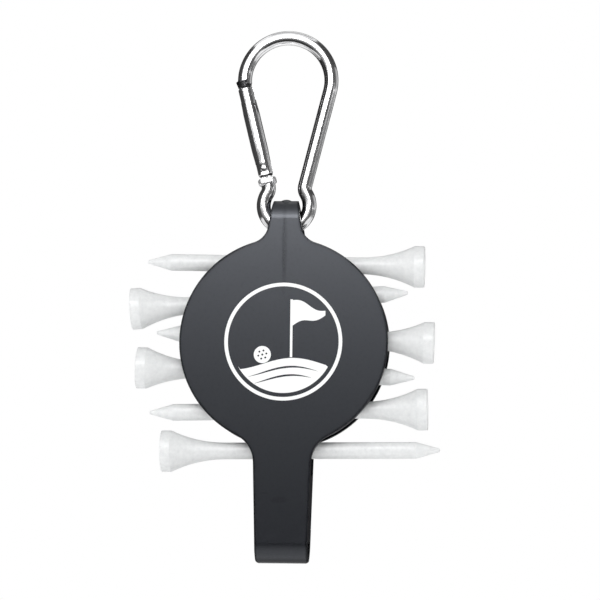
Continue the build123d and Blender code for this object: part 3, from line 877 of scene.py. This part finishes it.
def direction(azimuth, elevation):
    """Unit vector from the object; azimuth zero is the front and turns to the right."""
    turn, rise = math.radians(azimuth), math.radians(elevation)
    level = math.cos(rise)
    return Vector((math.sin(turn) * level, -math.cos(turn) * level, math.sin(rise)))


def seen_or_reflected(tree):
    """One for rays from the camera, from gloss and through glass."""
    path = add_node(tree, "ShaderNodeLightPath")
    total = path.outputs["Is Camera Ray"]
    for name in ("Is Glossy Ray", "Is Transmission Ray"):
        total = combine(tree, "ADD", total, path.outputs[name])
        total.node.use_clamp = True
    return total


def floor_material():
    """Pale paper: nearly white to the camera and in reflections, and see-through from below."""
    material, tree, shader = new_material("paper")
    tint(tree, shader, noise(tree, 40, detail=4), (0.80, 0.80, 0.80), (0.84, 0.84, 0.84))
    shader.inputs["Roughness"].default_value = 0.9
    glow = add_node(tree, "ShaderNodeEmission", Strength=1.0)
    clear = add_node(tree, "ShaderNodeBsdfTransparent")
    side = add_node(tree, "ShaderNodeNewGeometry")
    lit = add_node(tree, "ShaderNodeMixShader")
    mix = add_node(tree, "ShaderNodeMixShader")
    share = combine(tree, "MULTIPLY", seen_or_reflected(tree), FLOOR_WHITE)
    for node, sockets in ((lit, (share, shader.outputs["BSDF"], glow.outputs["Emission"])),
                          (mix, (side.outputs["Backfacing"], lit.outputs["Shader"],
                                 clear.outputs["BSDF"]))):
        for index, socket in enumerate(sockets):
            tree.links.new(socket, node.inputs[index])
    tree.links.new(mix.outputs["Shader"], tree.nodes["Material Output"].inputs["Surface"])
    return material


def card_material(stops, reach, sideways):
    """Glow whose level follows the stops up the card, or from its front edge to its back edge."""
    material, tree, _ = new_material("card")
    glow = add_node(tree, "ShaderNodeEmission", Strength=stops[0][1])
    if len(stops) > 1:
        place = add_node(tree, "ShaderNodeTexCoord")
        along = component(tree, place.outputs["Object"], "X" if sideways else "Y")
        start = reach / 2 if sideways else -reach / 2
        share = map_range(tree, along, start, -start, 0.0, 1.0)
        level = stops[0][1]
        for (low_end, low), (high_end, high) in zip(stops, stops[1:]):
            level = combine(tree, "ADD", level,
                            smooth_step(tree, share, low_end, high_end, 0.0, high - low))
        tree.links.new(level, glow.inputs["Strength"])
    tree.links.new(glow.outputs["Emission"], tree.nodes["Material Output"].inputs["Surface"])
    return material


def stage_plane(name, centre, normal, width, height, material):
    """Plane of the stage that faces along a normal, with its height upright."""
    mesh = bpy.data.meshes.new(name)
    corners = oblong(-width / 2, width / 2, -height / 2, height / 2)
    mesh.from_pydata([(x, y, 0) for x, y in corners], [], [(0, 1, 2, 3)])
    mesh.materials.append(material)
    thing = link_object(name, mesh)
    thing.location = centre
    thing.rotation_euler = Vector(normal).to_track_quat("Z", "Y").to_euler()
    return thing


def build_stage():
    """The floor and the cards."""
    low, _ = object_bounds()
    under = (0, 0, low[2] - FLOOR_DROP)
    stage_plane("floor", under, (0, 0, 1), FLOOR_SIZE, FLOOR_SIZE, floor_material())
    for name, azimuth, elevation, aim, distance, width, height, stops in CARDS:
        outward = direction(azimuth, elevation)
        sideways = name in SIDEWAYS
        glow = card_material(stops, width if sideways else height, sideways)
        middle = Vector((0, MID_Y * MM, aim)) + outward * distance
        card = stage_plane(name, middle, -outward, width, height, glow)
        for ray in ("camera", "diffuse", "transmission", "volume_scatter", "shadow"):
            setattr(card, "visible_" + ray, False)


def area_light(name, place, aim, width, height, power):
    """Rectangular lamp that faces a point."""
    data = bpy.data.lights.new(name, "AREA")
    data.shape = "RECTANGLE"
    data.size = width
    data.size_y = height
    data.energy = power
    lamp = link_object(name, data)
    lamp.location = place
    lamp.rotation_euler = (Vector(aim) - Vector(place)).to_track_quat("-Z", "Y").to_euler()
    return lamp


def build_lights():
    """The lamps and the world."""
    neck = Vector((0, 0, NECK_HEIGHT))
    key = neck + direction(KEY_AZIMUTH, KEY_ELEVATION) * KEY_DISTANCE
    area_light("key", key, neck, *KEY_SIZE, KEY_POWER)
    for name, place, aim, side, power, in_gloss in LAMPS:
        area_light(name, place, aim, side, side, power).visible_glossy = in_gloss
    world = bpy.data.worlds.new("studio")
    bpy.context.scene.world = world
    world.use_nodes = True
    tree = world.node_tree
    shade = tree.nodes["Background"]
    shade.inputs["Color"].default_value = (1, 1, 1, 1)
    tree.links.new(spread(tree, seen_or_reflected(tree), AMBIENT, 1.0), shade.inputs["Strength"])


def build_camera():
    """The camera, far enough away for its long lens to take in the view's width."""
    back = direction(CAMERA_AZIMUTH, CAMERA_ELEVATION)
    roll = Matrix.Rotation(math.radians(CAMERA_ROLL), 3, "Z")
    turn = back.to_track_quat("Z", "Y").to_matrix() @ roll
    right, up = turn.col[0], turn.col[1]
    target = right * VIEW_CENTRE[0] + up * VIEW_CENTRE[1]
    data = bpy.data.cameras.new("camera")
    data.lens = LENS
    data.sensor_width = SENSOR
    camera = link_object("camera", data)
    distance = VIEW_WIDTH * LENS / SENSOR
    camera.matrix_world = Matrix.Translation(target + back * distance) @ turn.to_4x4()
    bpy.context.scene.camera = camera


with open("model.json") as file:
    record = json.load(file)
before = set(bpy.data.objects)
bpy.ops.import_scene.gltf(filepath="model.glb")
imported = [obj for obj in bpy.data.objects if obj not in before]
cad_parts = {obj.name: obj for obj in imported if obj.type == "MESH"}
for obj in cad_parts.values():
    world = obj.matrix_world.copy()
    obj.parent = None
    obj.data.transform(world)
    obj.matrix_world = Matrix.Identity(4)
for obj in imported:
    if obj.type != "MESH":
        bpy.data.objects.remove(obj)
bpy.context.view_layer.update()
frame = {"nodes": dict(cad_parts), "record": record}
bpy.context.scene.view_settings.view_transform = "Standard"
finishes = dress_nodes(frame)
build_ring(finishes["chrome"])
build_collar()
build_nose()
build_gate(finishes["gate_chrome"])
build_rivet(finishes["rivet_steel"])
build_emblem()
build_stage()
build_lights()
build_camera()
